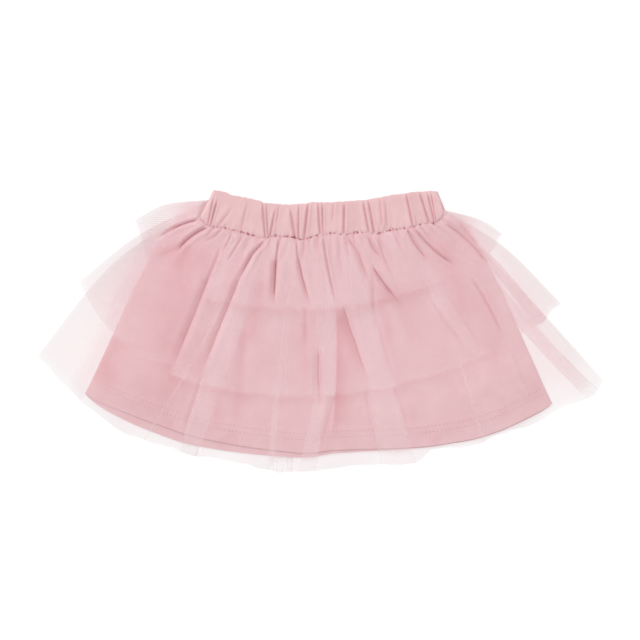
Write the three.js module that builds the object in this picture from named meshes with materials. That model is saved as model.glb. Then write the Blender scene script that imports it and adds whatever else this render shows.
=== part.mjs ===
// A toddler's tulle skirt laid flat on its back: an elasticated waistband, a jersey lining and
// three gathered tulle tiers, each with a front and a back that lie on each other.
// Millimetres, +Z up. +Y runs from the hem to the waist, +X to the right as seen from above.
// The origin is the middle of the footprint, on the surface that the skirt lies on.
import * as THREE from "three";

const { lerp, smoothstep, clamp } = THREE.MathUtils;

// Driving dimensions
const SEAM_GAP = 0.3; // between pieces that are sewn together, and between layers
const END_GAP = 0.5; // sideways from the slanting ends of the waistband
const TULLE_WALL = 1.3;
const JERSEY_WALL = 1.2;
const HEM_WALL = 1.8; // the lining's turned hem is doubled
const BAND_WALL = 4.6; // casing cloth, elastic and the loft of its gathers
const BAND_RIDGE = 1.4; // how far the casing's gathers stand out
const GATHERS = 22; // along the front waist seam and along the front of the casing
const GATHER_HEIGHT = 1.5;
const HEM_LEFT = { x: -236, y: -20 }; // side corners of the longest tier
const HEM_RIGHT = { x: 236, y: -41.5 };
const HEM_LOWEST = -115.5; // its hem at the middle
const HEM_SQUARE = { left: 3.2, right: 1.75 }; // how squarely its hem turns up to each side

// Columns across the cloth: some fan out from each end of the waistband, the rest from the seam
const WING_COLUMNS = 3;
const COLUMNS_PER_GATHER = 3;
const SEAM_COLUMNS = GATHERS * COLUMNS_PER_GATHER;
const COLUMNS = SEAM_COLUMNS + 2 * WING_COLUMNS;
const WING_SHARE = WING_COLUMNS / COLUMNS;
const BACK_STEP = 3; // the back is flat, so it takes every third column
const SIDE_BLEND = 0.16; // share of the width that follows a side edge and not the common fan
const SIDE_SETTLE = 0.06; // further share in which the layers settle onto each other

// Lower and upper edges of the waistband, from left to right
const BAND_SEAM = [
  { x: -101, y: 94 },
  { x: -91, y: 86.5 },
  { x: -30, y: 78 },
  { x: 40, y: 82 },
  { x: 103.5, y: 94 },
];
const BAND_TOP = [
  { x: -89.5, y: 117 },
  { x: -30, y: 105.2 },
  { x: 30, y: 108 },
  { x: 97, y: 116.5 },
];
// How far up each end of the waistband the tulle starts, as a share of the end
const RISE = { left: 0.64, right: 0.3 };

// Stations down the cloth, counted in hems: 0 is the waist seam and each whole number a hem
const STATION = { tier_1: 1, tier_2: 2, lining_front: 3, lining_back: 4, tier_3: 5 };
const REACH_AT = [0, 0.2, 0.58, 0.76, 1]; // places across the cloth, from the left
const REACH = [
  // share of the way from the seam to the longest hem, at each of those places
  { hem: "waist seam", shares: [0, 0, 0, 0, 0] },
  { hem: "tier_1", shares: [0.31, 0.312, 0.306, 0.286, 0.26] },
  { hem: "tier_2", shares: [0.69, 0.688, 0.678, 0.663, 0.64] },
  { hem: "lining_front", shares: [0.985, 0.906, 0.928, 0.992, 0.982] },
  { hem: "lining_back", shares: [0.99, 0.951, 0.938, 0.996, 0.992] },
  { hem: "tier_3", shares: [1, 1, 1, 1, 1] },
];
const ROWS = [0, 0.2, 0.5, 1, 1.15, 1.55, 2, 2.2, 2.65, 3, 4, 5];
const HEM_FOLD = 2.6; // the lining is doubled below this station

// Side edges: the waist, an elbow on the way down, and the corner at the hem
const SIDES = [
  { cloth: "tier_1", side: "left", elbowX: -130, elbowY: 105, hemX: -154, hemY: 93 },
  { cloth: "tier_1", side: "right", elbowX: 134, elbowY: 92, hemX: 151, hemY: 81 },
  { cloth: "tier_2", side: "left", elbowX: -153, elbowY: 79, hemX: -201, hemY: 41 },
  { cloth: "tier_2", side: "right", elbowX: 150, elbowY: 72, hemX: 200, hemY: 23 },
  { cloth: "tier_3", side: "left", elbowX: -172, elbowY: 57, hemX: HEM_LEFT.x, hemY: HEM_LEFT.y },
  { cloth: "tier_3", side: "right", elbowX: 168, elbowY: 33, hemX: HEM_RIGHT.x, hemY: HEM_RIGHT.y },
  { cloth: "lining", side: "left", elbowX: -123, elbowY: 88, hemX: -193.5, hemY: -51.5 },
  { cloth: "lining", side: "right", elbowX: 120, elbowY: 86, hemX: 192.5, hemY: -60.5 },
];

// Large folds of the front tiers: where each lies across the cloth at the waist and at the longest
// hem, its half width, all as shares of the width, its height, and the station where it has opened
const FOLDS = [
  { tier: "tier_3", waist: 0.29, hem: 0.268, half: 0.03, height: 2.4, open: 0.7 },
  { tier: "tier_3", waist: 0.498, hem: 0.506, half: 0.032, height: 2.2, open: 0.7 },
  { tier: "tier_3", waist: 0.563, hem: 0.637, half: 0.036, height: 2.6, open: 0.7 },
  { tier: "tier_3", waist: 0.78, hem: 0.775, half: 0.03, height: 2.0, open: 1 },
  { tier: "tier_2", waist: 0.2, hem: 0.226, half: 0.034, height: 2.4, open: 0.7 },
  { tier: "tier_2", waist: 0.38, hem: 0.41, half: 0.03, height: 1.8, open: 0.7 },
  { tier: "tier_2", waist: 0.443, hem: 0.478, half: 0.026, height: 2.0, open: 0.7 },
  { tier: "tier_2", waist: 0.69, hem: 0.72, half: 0.034, height: 2.2, open: 0.7 },
  { tier: "tier_1", waist: 0.25, hem: 0.262, half: 0.03, height: 2.0, open: 0.7 },
  { tier: "tier_1", waist: 0.345, hem: 0.352, half: 0.026, height: 2.0, open: 0.7 },
  { tier: "tier_1", waist: 0.6, hem: 0.612, half: 0.03, height: 2.2, open: 0.7 },
  { tier: "tier_1", waist: 0.735, hem: 0.745, half: 0.034, height: 2.2, open: 0.7 },
];

// Layers from the surface up. A side is named front or back as the skirt is worn
const LAYERS = [
  { cloth: "tier_1", side: "back", hem: STATION.tier_1 },
  { cloth: "tier_2", side: "back", hem: STATION.tier_2 },
  { cloth: "tier_3", side: "back", hem: STATION.tier_3 },
  { cloth: "lining", side: "back", hem: STATION.lining_back },
  { cloth: "lining", side: "front", hem: STATION.lining_front },
  { cloth: "tier_3", side: "front", hem: STATION.tier_3 },
  { cloth: "tier_2", side: "front", hem: STATION.tier_2 },
  { cloth: "tier_1", side: "front", hem: STATION.tier_1 },
];
const OUTER_ORDER = ["lining", "tier_3", "tier_2", "tier_1"]; // from the inside of the skirt out

// Materials
const band = new THREE.MeshStandardMaterial({ color: 0xe6bbbe, roughness: 0.85, metalness: 0 });
const jersey = new THREE.MeshStandardMaterial({ color: 0xdfb0b4, roughness: 0.9, metalness: 0 });
const tulle = new THREE.MeshStandardMaterial({ color: 0xf0d6d9, roughness: 0.8, metalness: 0 });

// Curves in plan
const point = ({ x, y }) => new THREE.Vector3(x, y, 0);
const curveThrough = (table) => new THREE.CatmullRomCurve3(table.map(point));
const bandSeam = curveThrough(BAND_SEAM);
const bandTop = curveThrough(BAND_TOP);

// A seam point, or a point up the end of the waistband, moved out from it by the seam gap.
function waistEdge(across) {
  const leftFoot = point(BAND_SEAM[0]).add(new THREE.Vector3(-END_GAP, -SEAM_GAP, 0));
  const rightFoot = point(BAND_SEAM.at(-1)).add(new THREE.Vector3(END_GAP, -SEAM_GAP, 0));
  if (across < WING_SHARE) {
    const up = point(BAND_TOP[0]).sub(point(BAND_SEAM[0])).multiplyScalar(RISE.left);
    return leftFoot.addScaledVector(up, 1 - across / WING_SHARE);
  }
  if (across > 1 - WING_SHARE) {
    const up = point(BAND_TOP.at(-1)).sub(point(BAND_SEAM.at(-1))).multiplyScalar(RISE.right);
    return rightFoot.addScaledVector(up, 1 - (1 - across) / WING_SHARE);
  }
  const along = clamp((across - WING_SHARE) / (1 - 2 * WING_SHARE), 0, 1);
  const corner = lerp(-END_GAP, END_GAP, along);
  return bandSeam.getPointAt(along).add(new THREE.Vector3(corner, -SEAM_GAP, 0));
}

// The longest hem, square at the sides and lowest at the middle.
function longestHem(across) {
  const square = across < 0.5 ? HEM_SQUARE.left : HEM_SQUARE.right;
  const bow = 1 - Math.abs(2 * across - 1) ** square;
  const drop = (HEM_LEFT.y + HEM_RIGHT.y) / 2 - HEM_LOWEST;
  const x = lerp(HEM_LEFT.x, HEM_RIGHT.x, across);
  return new THREE.Vector3(x, lerp(HEM_LEFT.y, HEM_RIGHT.y, across) - drop * bow, 0);
}

// The fan that all the layers share: rays from the waist to the longest hem.
const fan = (across, down) => waistEdge(across).lerp(longestHem(across), down);

// How far a hem reaches down a ray, between the places where it is known.
function reachOf({ shares }, across) {
  const next = REACH_AT.findIndex((place, i) => i > 0 && across <= place);
  const start = REACH_AT[next - 1];
  return lerp(shares[next - 1], shares[next], (across - start) / (REACH_AT[next] - start));
}

// Share of a ray at a station, between the hems on either side of it.
function downAt(station, across) {
  const last = Math.min(Math.floor(station), REACH.length - 2);
  return lerp(reachOf(REACH[last], across), reachOf(REACH[last + 1], across), station - last);
}

// Where a cloth starts and ends across the fan: the lining hangs from the seam alone.
const edgesOf = (cloth) => (cloth === "lining" ? [WING_SHARE, 1 - WING_SHARE] : [0, 1]);

// The curve of a cloth's side edge from the waist to the corner of its hem.
function sideCurve(cloth, side) {
  const row = SIDES.find((r) => r.cloth === cloth && r.side === side);
  const [left, right] = edgesOf(cloth);
  const top = waistEdge(side === "left" ? left : right);
  const elbow = new THREE.Vector3(row.elbowX, row.elbowY, 0);
  return new THREE.CatmullRomCurve3([top, elbow, new THREE.Vector3(row.hemX, row.hemY, 0)]);
}

// A function that gives the plan point of a layer: the common fan, led into its two side edges.
function planOf({ cloth, hem }) {
  const [left, right] = edgesOf(cloth);
  const edges = [
    { at: left, curve: sideCurve(cloth, "left") },
    { at: right, curve: sideCurve(cloth, "right") },
  ];
  return (across, station) => {
    const down = downAt(station, across);
    const share = clamp(down / downAt(hem, across), 0, 1);
    const place = fan(across, down);
    for (const { at, curve } of edges) {
      const away = Math.abs(across - at) / (SIDE_BLEND - left);
      if (away >= 1) continue;
      const shift = curve.getPointAt(share).sub(fan(at, share * downAt(hem, at)));
      place.addScaledVector(shift, (1 - away) ** 2);
    }
    return place;
  };
}

// Heights
const sideShare = (across) => Math.min(across, 1 - across);
// 1 at the sides, where the tiers fan out differently and none settles; 0 in the middle
const atSides = (across) => 1 - smoothstep(sideShare(across), SIDE_BLEND, SIDE_BLEND + SIDE_SETTLE);

// 1 at the side edge of the tulle below the hips, falling to 0 before the lining begins.
function pastLining(across, station) {
  const below = smoothstep(station, 1.5, STATION.tier_2);
  return below * clamp(1 - sideShare(across) / WING_SHARE, 0, 1);
}

// Thickness of a cloth at a station.
function wallOf(cloth, station) {
  if (cloth !== "lining") return TULLE_WALL;
  return station > HEM_FOLD ? HEM_WALL : JERSEY_WALL;
}

// Height that the layers below a layer take up at a point.
function pileUnder(index, across, station) {
  let height = 0;
  for (const { cloth, hem } of LAYERS.slice(0, index)) {
    const isLining = cloth === "lining"; // the tulle stands out past its hem without settling
    const inside = station <= hem || isLining ? 1 : atSides(across);
    const beside = isLining ? 1 - pastLining(across, station) : 1;
    const room = isLining && station > STATION.tier_2 ? HEM_WALL : wallOf(cloth, station);
    height += (room + SEAM_GAP) * inside * beside;
  }
  return height;
}

// Gathers stand up just below the seam and fade out down the cloth, no two quite alike.
function gatherLift(across, station) {
  const along = (across - WING_SHARE) / (1 - 2 * WING_SHARE);
  if (along <= 0 || along >= 1) return 0;
  const phase = along * GATHERS;
  const uneven = 0.7 + 0.3 * Math.sin(2.4 * Math.floor(phase + 0.5));
  const ridge = 0.5 + 0.5 * Math.cos(2 * Math.PI * phase);
  const fade = smoothstep(station, 0, 0.2) * (1 - smoothstep(station, 0.5, 1.55));
  return GATHER_HEIGHT * uneven * ridge * fade * (1 - 0.8 * atSides(across));
}

// The large folds of a tier and of those inside it.
function foldLift(cloth, across, station) {
  const order = OUTER_ORDER.indexOf(cloth);
  const down = downAt(station, across);
  let height = 0;
  for (const fold of FOLDS) {
    if (OUTER_ORDER.indexOf(fold.tier) > order) continue;
    const off = (across - lerp(fold.waist, fold.hem, down)) / fold.half;
    if (Math.abs(off) >= 1) continue;
    const opened = smoothstep(station, 0, fold.open);
    height += fold.height * opened * (0.5 + 0.5 * Math.cos(Math.PI * off));
  }
  return height;
}

// A closed wall from a grid of points: place(column, row) gives x, y, and the heights of its faces.
function wall(columns, rows, place) {
  const positions = [];
  const index = [];
  const across = columns + 1;
  const under = across * (rows + 1);
  for (const face of ["top", "bottom"])
    for (let r = 0; r <= rows; r++)
      for (let c = 0; c <= columns; c++) {
        const p = place(c, r);
        positions.push(p.x, p.y, p[face]);
      }
  const at = (c, r) => r * across + c;
  const quad = (a, b, c, d) => index.push(a, b, c, a, c, d);
  const quadBelow = (a, b, c, d) => index.push(a, c, b, a, d, c);
  for (let r = 0; r < rows; r++)
    for (let c = 0; c < columns; c++) {
      const corners = [at(c, r), at(c, r + 1), at(c + 1, r + 1), at(c + 1, r)];
      quad(...corners);
      quadBelow(...corners.map((i) => i + under));
    }
  const rim = (a, b) => quad(a, a + under, b + under, b);
  for (let c = 0; c < columns; c++) {
    rim(at(c + 1, 0), at(c, 0));
    rim(at(c, rows), at(c + 1, rows));
  }
  for (let r = 0; r < rows; r++) {
    rim(at(0, r), at(0, r + 1));
    rim(at(columns, r + 1), at(columns, r));
  }
  const geometry = new THREE.BufferGeometry();
  geometry.setAttribute("position", new THREE.Float32BufferAttribute(positions, 3));
  geometry.setIndex(index);
  geometry.computeVertexNormals();
  return geometry;
}

function named(name, geometry, material) {
  const mesh = new THREE.Mesh(geometry, material);
  mesh.name = name;
  return mesh;
}

// One layer of the lining or of a tier, lying on the pile of those below it.
function layer(entry, index) {
  const { cloth, side, hem } = entry;
  const plan = planOf(entry);
  const step = side === "back" ? BACK_STEP : 1;
  const first = cloth === "lining" ? WING_COLUMNS : 0;
  const columns = (COLUMNS - 2 * first) / step;
  const stations = ROWS.filter((s) => s <= hem);
  if (cloth === "lining") stations.push(HEM_FOLD);
  stations.sort((a, b) => a - b);
  const geometry = wall(columns, stations.length - 1, (c, r) => {
    const across = (first + c * step) / COLUMNS;
    const station = stations[r];
    const lift = gatherLift(across, station) + foldLift(cloth, across, station);
    const bottom = pileUnder(index, across, station) + (side === "front" ? lift : 0);
    const { x, y } = plan(across, station);
    return { x, y, bottom, top: bottom + wallOf(cloth, station) };
  });
  return named(`${cloth}_${side}`, geometry, cloth === "lining" ? jersey : tulle);
}

// Half of the waistband. The front's gathers are raised over a plain inside; the back lies flat.
function waistband(side) {
  const front = side === "front";
  const step = front ? 1 : BACK_STEP;
  const columns = SEAM_COLUMNS / step;
  const rows = front ? 4 : 2;
  const bottom = front ? BAND_WALL + SEAM_GAP : 0;
  const geometry = wall(columns, rows, (c, r) => {
    const along = c / columns;
    const gather = (c * step) / COLUMNS_PER_GATHER;
    const ridge = Number.isInteger(gather) ? 0.7 + 0.3 * Math.sin(1.7 * gather) : 0;
    const { x, y } = bandTop.getPointAt(along).lerp(bandSeam.getPointAt(along), r / rows);
    const top = bottom + BAND_WALL + (front ? BAND_RIDGE * ridge : 0);
    return { x, y, bottom, top };
  });
  return named(`waistband_${side}`, geometry, band);
}

const skirt = new THREE.Group();
LAYERS.forEach((entry, index) => skirt.add(layer(entry, index)));
skirt.add(waistband("back"), waistband("front"));

// Set the origin under the middle of the skirt
const box = new THREE.Box3().setFromObject(skirt);
const middle = box.getCenter(new THREE.Vector3());
for (const piece of skirt.children) piece.geometry.translate(-middle.x, -middle.y, -box.min.z);

export default skirt;
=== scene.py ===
"""Dresses the solids of a toddler's tulle skirt that lies flat on its back.

Each solid is replaced by thin cloth on its form: a gathered waistband casing, a jersey lining with
a stitched hem, and three tiers of net with their pleats. Sizes in the tables are in millimetres.
"""

import math
from collections import namedtuple

import bpy
import numpy as np
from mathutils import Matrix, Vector
from mathutils.bvhtree import BVHTree


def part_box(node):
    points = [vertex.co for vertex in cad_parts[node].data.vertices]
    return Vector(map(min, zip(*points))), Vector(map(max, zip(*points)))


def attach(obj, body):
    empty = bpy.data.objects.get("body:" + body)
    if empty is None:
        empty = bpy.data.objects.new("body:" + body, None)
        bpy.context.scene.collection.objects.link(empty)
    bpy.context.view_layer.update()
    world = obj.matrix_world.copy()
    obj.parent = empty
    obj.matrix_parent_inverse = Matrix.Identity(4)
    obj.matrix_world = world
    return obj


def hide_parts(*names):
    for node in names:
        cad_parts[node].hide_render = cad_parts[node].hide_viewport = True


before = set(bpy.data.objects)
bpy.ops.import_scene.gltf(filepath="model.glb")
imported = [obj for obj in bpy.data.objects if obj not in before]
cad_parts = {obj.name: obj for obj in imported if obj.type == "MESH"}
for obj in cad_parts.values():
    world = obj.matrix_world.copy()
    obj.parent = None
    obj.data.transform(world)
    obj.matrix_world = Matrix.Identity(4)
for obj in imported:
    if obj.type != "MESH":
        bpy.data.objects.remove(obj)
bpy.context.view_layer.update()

MM = 0.001

# Outline of the cloth, as in the part's source
WING = 3 / 72  # share of the width that fans out from each end of the waistband
SIDE_BLEND = 0.16
BAND_SEAM = [(-101, 94), (-91, 86.5), (-30, 78), (40, 82), (103.5, 94)]
BAND_TOP = [(-89.5, 117), (-30, 105.2), (30, 108), (97, 116.5)]
RISE_LEFT = 0.64
RISE_RIGHT = 0.3
HEM_LEFT = (-236, -20)
HEM_RIGHT = (236, -41.5)
HEM_LOWEST = -115.5
HEM_SQUARE_LEFT = 3.2
HEM_SQUARE_RIGHT = 1.75
BAND_TOP_HIGHEST = 117

# Share of the way from the seam to the longest hem, at places across the cloth from the left
REACH_AT = (0, 0.2, 0.58, 0.76, 1)
REACH = {
    "tier_1": (0.31, 0.312, 0.306, 0.286, 0.26),
    "tier_2": (0.69, 0.688, 0.678, 0.663, 0.64),
    "lining_front": (0.985, 0.906, 0.928, 0.992, 0.982),
    "lining_back": (0.99, 0.951, 0.938, 0.996, 0.992),
    "tier_3": (1, 1, 1, 1, 1),
}

# Side edges: an elbow on the way down and the corner at the hem, left and right
Side = namedtuple("Side", "left_elbow left_hem right_elbow right_hem")
SIDES = {
    "tier_1": Side((-130, 105), (-154, 93), (134, 92), (151, 81)),
    "tier_2": Side((-153, 79), (-201, 41), (150, 72), (200, 23)),
    "tier_3": Side((-172, 57), HEM_LEFT, (168, 33), HEM_RIGHT),
    "lining": Side((-123, 88), (-196.5, -52), (120, 86), (192.5, -60.5)),
}

# How far the gathered seam and the top of the casing stand off their smooth curves
Off = namedtuple("Off", "along off")
SEAM_WAVES = [
    Off(0, 0), Off(0.037, -0.5), Off(0.109, 2.3), Off(0.16, 1.5), Off(0.201, 0.3), Off(0.261, -1.8),
    Off(0.281, -1.7), Off(0.3, 0.2), Off(0.369, 0.5), Off(0.399, -0.6), Off(0.429, -2.1), Off(0.485, 1.5),
    Off(0.501, 0.5), Off(0.522, 2.2), Off(0.554, 2.4), Off(0.594, 0), Off(0.634, 0.9), Off(0.677, 0.5),
    Off(0.709, -2.3), Off(0.766, -1.1), Off(0.838, -1.7), Off(0.868, -2.1), Off(0.893, -1.1),
    Off(0.952, -1.9), Off(0.968, -1.2), Off(0.985, 1.6), Off(1, 6),
]
TOP_WAVES = [
    Off(0, 0), Off(0.051, 0.4), Off(0.081, -0.8), Off(0.153, -0.2), Off(0.214, 0), Off(0.226, -1.2),
    Off(0.247, -1), Off(0.28, -0.3), Off(0.319, -0.4), Off(0.422, 1.1), Off(0.441, 2), Off(0.51, 0.9),
    Off(0.579, 0.4), Off(0.682, 0), Off(0.76, 1), Off(0.797, 1.5), Off(0.857, 1.4), Off(0.894, 1.5),
    Off(0.934, 0.7), Off(0.975, 0.4), Off(1, -1),
]

# How far the hems of two tiers and of the lining stand off their smooth curves, as shares of the
# way down to them
HEM_WAVES = {
    "tier_2": [
        Off(0, 0), Off(0.11, 0), Off(0.14, -0.03), Off(0.176, -0.06), Off(0.186, 0), Off(1, 0),
    ],
    "tier_3": [
        Off(0, 0), Off(0.1, 0.008), Off(0.16, 0.017), Off(0.196, 0), Off(0.235, -0.008), Off(0.257, 0.004),
        Off(0.313, -0.012), Off(0.374, 0.002), Off(0.425, 0.021), Off(0.47, 0.012), Off(0.5, 0.003),
        Off(0.55, -0.014), Off(0.6, -0.008), Off(0.645, 0.017), Off(0.665, 0.014), Off(0.698, -0.022),
        Off(0.76, 0.01), Off(0.84, 0.012), Off(0.88, 0.027), Off(0.93, 0.012), Off(0.951, 0.03),
        Off(0.973, 0.035), Off(1, 0),
    ],
}
LINING_HEM_WAVES = [
    Off(0.2, 0.002), Off(0.25, 0.008), Off(0.3, 0.005), Off(0.36, 0.006), Off(0.42, 0.009),
    Off(0.46, 0.012), Off(0.485, 0.007), Off(0.52, -0.0105), Off(0.57, -0.015), Off(0.66, -0.012),
    Off(0.735, -0.008), Off(0.77, 0), Off(0.82, 0.003), Off(0.87, 0),
]

# Creases of the casing: place along the seam at the top and at the bottom of each crease, how high
# up the casing it starts and ends, its half width and its depth
BandCrease = namedtuple("BandCrease", "top bottom high low half depth")
BAND_CREASES = [
    BandCrease(0.009, 0.045, 0.75, 0, 2.2, 1.5),
    BandCrease(0.03, 0.056, 0.75, 0, 2.2, 1.7),
    BandCrease(0.125, 0.085, 0.62, 0.1, 4.5, 0.8),
    BandCrease(0.162, 0.179, 0.85, 0, 3.2, 0.6),
    BandCrease(0.223, 0.279, 1, 0, 1.8, 1.8),
    BandCrease(0.24, 0.291, 1, 0, 1.6, 1.2),
    BandCrease(0.285, 0.297, 0.85, 0, 2.6, 1.6),
    BandCrease(0.297, 0.314, 0.97, 0.5, 3, 0.7),
    BandCrease(0.344, 0.397, 0.85, 0, 3, 2),
    BandCrease(0.385, 0.41, 0.98, 0, 2.4, 1.4),
    BandCrease(0.426, 0.433, 1, 0, 3, 1.9),
    BandCrease(0.469, 0.497, 1, 0.05, 2.4, 1.8),
    BandCrease(0.488, 0.507, 1, 0.05, 2.2, 1.3),
    BandCrease(0.537, 0.542, 1, 0.45, 3, 0.7),
    BandCrease(0.586, 0.59, 0.95, 0, 3, 1.9),
    BandCrease(0.667, 0.691, 0.97, 0, 2.6, 1.9),
    BandCrease(0.69, 0.713, 0.97, 0, 2.4, 1.9),
    BandCrease(0.741, 0.745, 0.96, 0.25, 3, 0.6),
    BandCrease(0.765, 0.764, 0.85, 0.1, 3, 0.7),
    BandCrease(0.858, 0.869, 1, 0, 2.6, 1.8),
    BandCrease(0.918, 0.934, 1, 0, 2.6, 2),
    BandCrease(0.952, 0.955, 0.95, 0, 2.4, 2),
    BandCrease(0.966, 0.962, 0.95, 0, 2.2, 1.8),
    BandCrease(0.998, 0.997, 0.55, 0, 1.8, 2.2),
]

# Creases of the front below the waist: where each starts, turns and ends, as shares across and down
# the fan, its half width on the left and on the right, its depth, and how much painted shade darkens it
Crease = namedtuple("Crease", "start middle end left right depth tint")
CREASES = [
    Crease((0.296, 0.01), (0.27, 0.09), (0.252, 0.217), 4.6, 1.2, 2, 0.38),
    Crease((0.255, 0.193), (0.245, 0.445), (0.241, 0.655), 6.5, 1.0, 1.2, 0.3),
    Crease((0.348, 0.005), (0.352, 0.08), (0.357, 0.16), 1.6, 1.2, 1.2, 0.26),
    Crease((0.352, 0.09), (0.359, 0.17), (0.369, 0.29), 6.6, 1.2, 2, 0.48),
    Crease((0.409, 0), (0.42, 0.07), (0.434, 0.14), 1.6, 1.2, 1.2, 0.24),
    Crease((0.424, 0.085), (0.442, 0.17), (0.47, 0.288), 5.0, 1.4, 1.6, 0.4),
    Crease((0.439, 0), (0.44, 0.037), (0.441, 0.072), 2.1, 2.1, 1, 0.15),
    Crease((0.47, 0), (0.478, 0.018), (0.48, 0.04), 2.1, 2.1, 0.8, 0.2),
    Crease((0.506, 0), (0.52, 0.122), (0.543, 0.307), 1.5, 1.5, 1.3, 0.25),
    Crease((0.557, 0.075), (0.563, 0.128), (0.569, 0.182), 2.9, 2.9, 0.5, 0.07),
    Crease((0.587, 0), (0.624, 0.085), (0.643, 0.223), 4.1, 3.3, 1.5, 0.25),
    Crease((0.638, 0), (0.642, 0.02), (0.648, 0.052), 2.1, 2.1, 0.8, 0.12),
    Crease((0.663, 0.005), (0.673, 0.065), (0.691, 0.118), 1.2, 5.8, 1.4, 0.32),
    Crease((0.705, 0.02), (0.704, 0.118), (0.72, 0.235), 2.9, 1.0, 1, 0.12),
    Crease((0.662, 0.147), (0.684, 0.23), (0.713, 0.325), 5.5, 1.5, 2, 0.36),
    Crease((0.657, 0.18), (0.645, 0.295), (0.64, 0.378), 1.7, 2.9, 1, 0.12),
    Crease((0.771, 0), (0.774, 0.025), (0.776, 0.043), 2.1, 2.1, 0.8, 0.15),
    Crease((0.164, 0.092), (0.168, 0.16), (0.173, 0.27), 3, 1.0, 0.8, 0.15),
    Crease((0.17, 0.22), (0.177, 0.4), (0.183, 0.682), 7, 1.0, 1.2, 0.26),
    Crease((0.305, 0.34), (0.315, 0.482), (0.327, 0.6), 5.8, 7.5, 0.8, 0.07),
    Crease((0.458, 0.297), (0.46, 0.38), (0.463, 0.47), 2.1, 3.7, 0.8, 0.12),
    Crease((0.492, 0.485), (0.493, 0.593), (0.497, 0.73), 1.0, 6.6, 1.2, 0.3),
    Crease((0.56, 0.305), (0.584, 0.473), (0.604, 0.652), 10.8, 1.1, 1.2, 0.32),
    Crease((0.642, 0.36), (0.653, 0.557), (0.657, 0.685), 1.0, 5.0, 0.8, 0.09),
    Crease((0.795, 0.357), (0.809, 0.49), (0.825, 0.628), 3.3, 1.0, 0.6, 0.09),
    Crease((0.838, 0.357), (0.846, 0.512), (0.853, 0.688), 1.0, 3.3, 0.6, 0.07),
    Crease((0.245, 0.655), (0.246, 0.853), (0.249, 0.965), 3.3, 1.0, 0.6, 0.07),
    Crease((0.53, 0.682), (0.52, 0.743), (0.494, 0.922), 1.1, 7.5, 0.8, 0.2),
    Crease((0.595, 0.682), (0.598, 0.797), (0.603, 0.92), 2.5, 1.0, 0.5, 0.05),
    Crease((0.655, 0.67), (0.663, 0.802), (0.663, 0.938), 1.0, 5.0, 0.6, 0.08),
]

# Folds of all the front layers at the hips: three points in plan, from the waist out, the half width
# above and below the fold, its depth, and how much painted shade darkens it
HipFold = namedtuple("HipFold", "start middle end above below depth tint")
HIP_FOLDS = [
    HipFold((-102.9, 91.7), (-120.4, 86.3), (-136.1, 77.2), 3.2, 0.9, 2.4, 0.42),
    HipFold((-94.6, 85.5), (-111.2, 75.5), (-119.9, 66.4), 4.5, 0.9, 2.4, 0.42),
    HipFold((-116, 72), (-126, 66), (-136, 62), 6, 6, 0.8, 0.16),
    HipFold((-81.3, 85.9), (-88.4, 78.4), (-97.9, 75.1), 1.8, 1.4, 1, 0.2),
    HipFold((-74.3, 83.8), (-75.5, 77.2), (-80.5, 68.1), 1.4, 1.4, 0.9, 0.2),
    HipFold((-64.3, 78.9), (-70.1, 69.7), (-78, 57.3), 1.6, 1.4, 1, 0.2),
    HipFold((71.4, 84.7), (76.4, 74.7), (88.8, 58.1), 4, 1.1, 1.8, 0.28),
    HipFold((78, 84.7), (89, 71.4), (111.2, 54.8), 3, 1.1, 1.8, 0.25),
    HipFold((103.8, 88), (122, 74.7), (140.3, 53.1), 4, 0.9, 1.6, 0.26),
    HipFold((113, 80), (124.5, 70.5), (136, 57.5), 0.9, 0.9, 0.6, 0.2),
    HipFold((115.4, 90.5), (123.7, 78.9), (132, 68.9), 5, 4, 0.6, 0.2),
    HipFold((125.9, 43.2), (142, 16), (151.9, -5.8), 1.1, 3, 1.2, 0.2),
]

# Broad painted shades where the cloth turns away between the folds, and one painted highlight where it
# swells: three points in plan, the half width above and below, and how much painted shade darkens it
Shade = namedtuple("Shade", "start middle end above below tint")
SHADES = [
    Shade((-113.7, 73.9), (-122, -3.3), (-133, -84), 44, 34, 0.2),
    Shade((-108.7, 71.4), (-114.5, 63.1), (-125.3, 52.3), 8, 10, 0.12),
    Shade((-128, 94), (-106, 74), (-78, 52), 22, 20, 0.1),
    Shade((-98, 0), (-101, -25), (-104, -52), 9, 9, 0.1),
    Shade((-170, -5), (-178.5, -28.2), (-184, -50), 24, 32, 0.2),
    Shade((-66, 0), (-68, -30), (-70, -85), 9, 9, 0.16),
    Shade((-92, 55), (-94, 42), (-97, 28), 8, 8, 0.1),
    Shade((-86, -46), (-86.5, -62), (-87, -88), 10, 12, 0.14),
    Shade((-64.7, 63.1), (-70.6, 46.5), (-77.2, 25.7), 9, 5, 0.14),
    Shade((-49, 42), (-54, 16), (-60, -16), 12, 11, 0.18),
    Shade((-14.1, 8), (-14.1, -11.6), (-14.9, -40), 10, 10, 0.12),
    Shade((12.9, 15.8), (12.9, -43), (9, -94), 1, 19, 0.33),
    Shade((50.6, 38.2), (54, 13.3), (56, -15), 36, 8, 0.19),
    # A painted highlight: a negative darkness where the cloth swells
    Shade((54, 24), (61.4, 10), (66, -17), 8, 9, -0.22),
    Shade((86.3, 82.2), (98.8, 68.9), (111.2, 57.3), 8, 8, 0.08),
    Shade((98.8, 75.5), (111.2, 42.3), (123.7, 5), 18, 16, 0.16),
    Shade((136.1, 34), (141.9, 0.8), (146.9, -40), 12, 14, 0.12),
]

# A seam inside the lining that shows through as a ridge with painted shade along it, as shares across and
# down the lining
LINING_SEAM = [Crease((0.911, 0.697), (0.901, 0.846), (0.901, 0.934), 1.2, 1.2, 0.4, 0.14)]

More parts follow.
